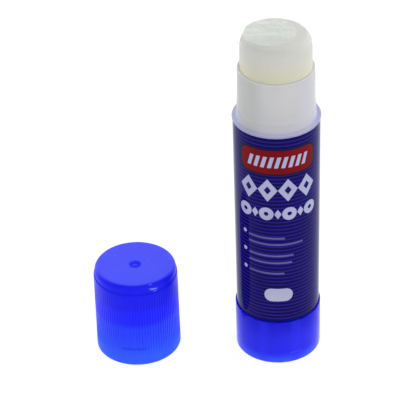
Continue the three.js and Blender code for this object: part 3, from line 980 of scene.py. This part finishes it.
# The lit top's mask is set back from the axis, so the front of the crown's rounding is left out of the
# painted light.
off_back = distance_from_upright(tree, place, cap_centre[0], cap_centre[1] + 1.1)
painted_lit_top = math_node(tree, "MULTIPLY", share_between(tree, off_back, 9.1, 10.1, 1.0, 0.0, smooth=True),
                      share_between(tree, up, 21.6, 21.7))
blue = blend_colour(tree, painted_lit_top, blue, (0.074, 0.087, 0.96))
in_dimple = math_node(tree, "MULTIPLY",
                      share_between(tree, off_axis, dimple_radius - 0.15, dimple_radius, 0.85, 0.0),
                      share_between(tree, up, cap_height - 0.35, cap_height - 0.05, 1.0, 0.0))
blue = blend_colour(tree, in_dimple, blue, (0.008, 0.009, 0.88))
gate = share_between(tree, off_axis, 0.30, 0.45, 1.0, 0.0)
blue = blend_colour(tree, gate, blue, (0.05, 0.06, 0.95))
flecks = add(tree, "ShaderNodeTexVoronoi", {"Scale": 620.0}, voronoi_dimensions="2D")
tree.links.new(place, flecks.inputs["Vector"])
fleck_pick = add(tree, "ShaderNodeSeparateColor")
tree.links.new(flecks.outputs["Color"], fleck_pick.inputs["Color"])
fleck_size = spread(tree, fleck_pick.outputs["Red"], 0.0, 0.11, 0.8, 1.0)
fleck = math_node(tree, "LESS_THAN", flecks.outputs["Distance"], fleck_size)
fleck = math_node(tree, "MULTIPLY", fleck, spread(tree, fleck_pick.outputs["Green"], 0.1, 0.6))
blue = blend_colour(tree, math_node(tree, "MULTIPLY", fleck, painted_lit_top), blue, (0.34, 0.38, 1.0))
# One knock on the crown's edge has left a patch of pale, slanting scratches.
knock_centre = (-29.35, -7.75, 22.1)
near_knock = share_between(tree, distance_from(tree, place, knock_centre), 0.7, 1.6, 0.75, 0.0, smooth=True)
slanted = add(tree, "ShaderNodeMapping", {"Rotation": (0, -0.5, 0), "Scale": (0.25, 0.25, 1.6)})
tree.links.new(place, slanted.inputs["Vector"])
scratches = spread(tree, grain(tree, slanted.outputs["Vector"], 1500, 1), 0.0, 1.0, 0.52, 0.62)
scuff = math_node(tree, "MULTIPLY", scratches, near_knock)
blue = blend_colour(tree, scuff, blue, (0.30, 0.33, 1.0))
tree.links.new(blue, principled.inputs["Base Color"])
rough = spread(tree, grain(tree, place, 600, 3), 0.26, 0.4)
rough = math_node(tree, "ADD", rough, share_between(tree, up, 4.5, 8.5, 0.3, 0.0, smooth=True))
tree.links.new(rough, principled.inputs["Roughness"])
bumped(tree, principled, grain(tree, place, 1300, 3), 0.00003, 0.35)
cap.data.materials.append(satin_blue)
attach(cap, "cap")
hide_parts("cap")


# Table, light and camera
# A plain white table under a white surround, lit softly from behind and from the right, and a long
# lens looking down at about 34 degrees.
floor_mesh = bpy.data.meshes.new("table")
reach = 3.0
floor_mesh.from_pydata([(-reach, -reach, 0), (reach, -reach, 0), (reach, reach, 0), (-reach, reach, 0)],
                       [], [(0, 1, 2, 3)])
table = bpy.data.objects.new("table", floor_mesh)
bpy.context.scene.collection.objects.link(table)

white_table = bpy.data.materials.new("white_table")
white_table.use_nodes = True
tree = white_table.node_tree
tree.nodes.remove(tree.nodes["Principled BSDF"])


def glowing_white(tree, lit, glow):
    """A matt white surface that the lamps light in part and that is bright of itself in part."""
    matt = add(tree, "ShaderNodeBsdfDiffuse", {"Color": (lit, lit, lit, 1)})
    bright = add(tree, "ShaderNodeEmission", {"Color": (1, 1, 1, 1), "Strength": glow})
    both = add(tree, "ShaderNodeAddShader")
    tree.links.new(matt.outputs[0], both.inputs[0])
    tree.links.new(bright.outputs[0], both.inputs[1])
    return both.outputs[0]


def seen_or_lighting(tree, lighting, seen, surface):
    """Shows one shader to the eye, in gloss and through clear stuff; the other lights the pieces."""
    rays = add(tree, "ShaderNodeLightPath").outputs
    showing = math_node(tree, "MAXIMUM", rays["Is Camera Ray"], rays["Is Glossy Ray"])
    showing = math_node(tree, "MAXIMUM", showing, rays["Is Transmission Ray"])
    choice = add(tree, "ShaderNodeMixShader")
    tree.links.new(showing, choice.inputs[0])
    tree.links.new(lighting, choice.inputs[1])
    tree.links.new(seen, choice.inputs[2])
    tree.links.new(choice.outputs[0], surface)


seen_or_lighting(tree, glowing_white(tree, 0.45, 0.52), glowing_white(tree, 0.2, 0.88),
                 tree.nodes["Material Output"].inputs["Surface"])
floor_mesh.materials.append(white_table)

world = bpy.data.worlds.new("white_surround")
bpy.context.scene.world = world
world.use_nodes = True
tree = world.node_tree
surround = tree.nodes["Background"]
surround.inputs["Color"].default_value = (0.95, 0.957, 0.985, 1)
surround.inputs["Strength"].default_value = 0.83
backdrop = add(tree, "ShaderNodeBackground", {"Color": (1, 1, 1, 1), "Strength": 1.0})
seen_or_lighting(tree, surround.outputs[0], backdrop.outputs[0],
                 tree.nodes["World Output"].inputs["Surface"])

scene_middle = Vector((-0.012, 0.0, 0.035))
for lamp_name, where, size, watts in (
        ("lamp_back_right", (0.28, 0.30, 0.42), 0.35, 0.45),
        ("lamp_front_right", (0.33, -0.34, 0.22), 0.35, 0.40),
        ("lamp_low_left", (-0.38, 0.26, 0.12), 0.20, 0.25),
        ("lamp_low_right", (0.38, 0.27, 0.12), 0.20, 0.10)):
    light = bpy.data.lights.new(lamp_name, "AREA")
    light.size = size
    light.energy = watts
    lamp = bpy.data.objects.new(lamp_name, light)
    lamp.location = where
    aim = scene_middle - Vector(where)
    lamp.rotation_mode = "QUATERNION"
    lamp.rotation_quaternion = aim.to_track_quat("-Z", "Y")
    bpy.context.scene.collection.objects.link(lamp)

lens = bpy.data.cameras.new("long_lens")
lens.sensor_width = 36
lens.lens = 187.22
lens.clip_start = 0.01
lens.clip_end = 20
camera = bpy.data.objects.new("camera", lens)
camera.location = (-0.017904, -0.398499, 0.314309)
camera.rotation_mode = "ZYX"
look_down_degrees = 34.432
lean_degrees = -1.904
camera.rotation_euler = (math.radians(90 - look_down_degrees), 0, math.radians(lean_degrees))
bpy.context.scene.collection.objects.link(camera)
bpy.context.scene.camera = camera
bpy.context.scene.view_settings.view_transform = "Standard"
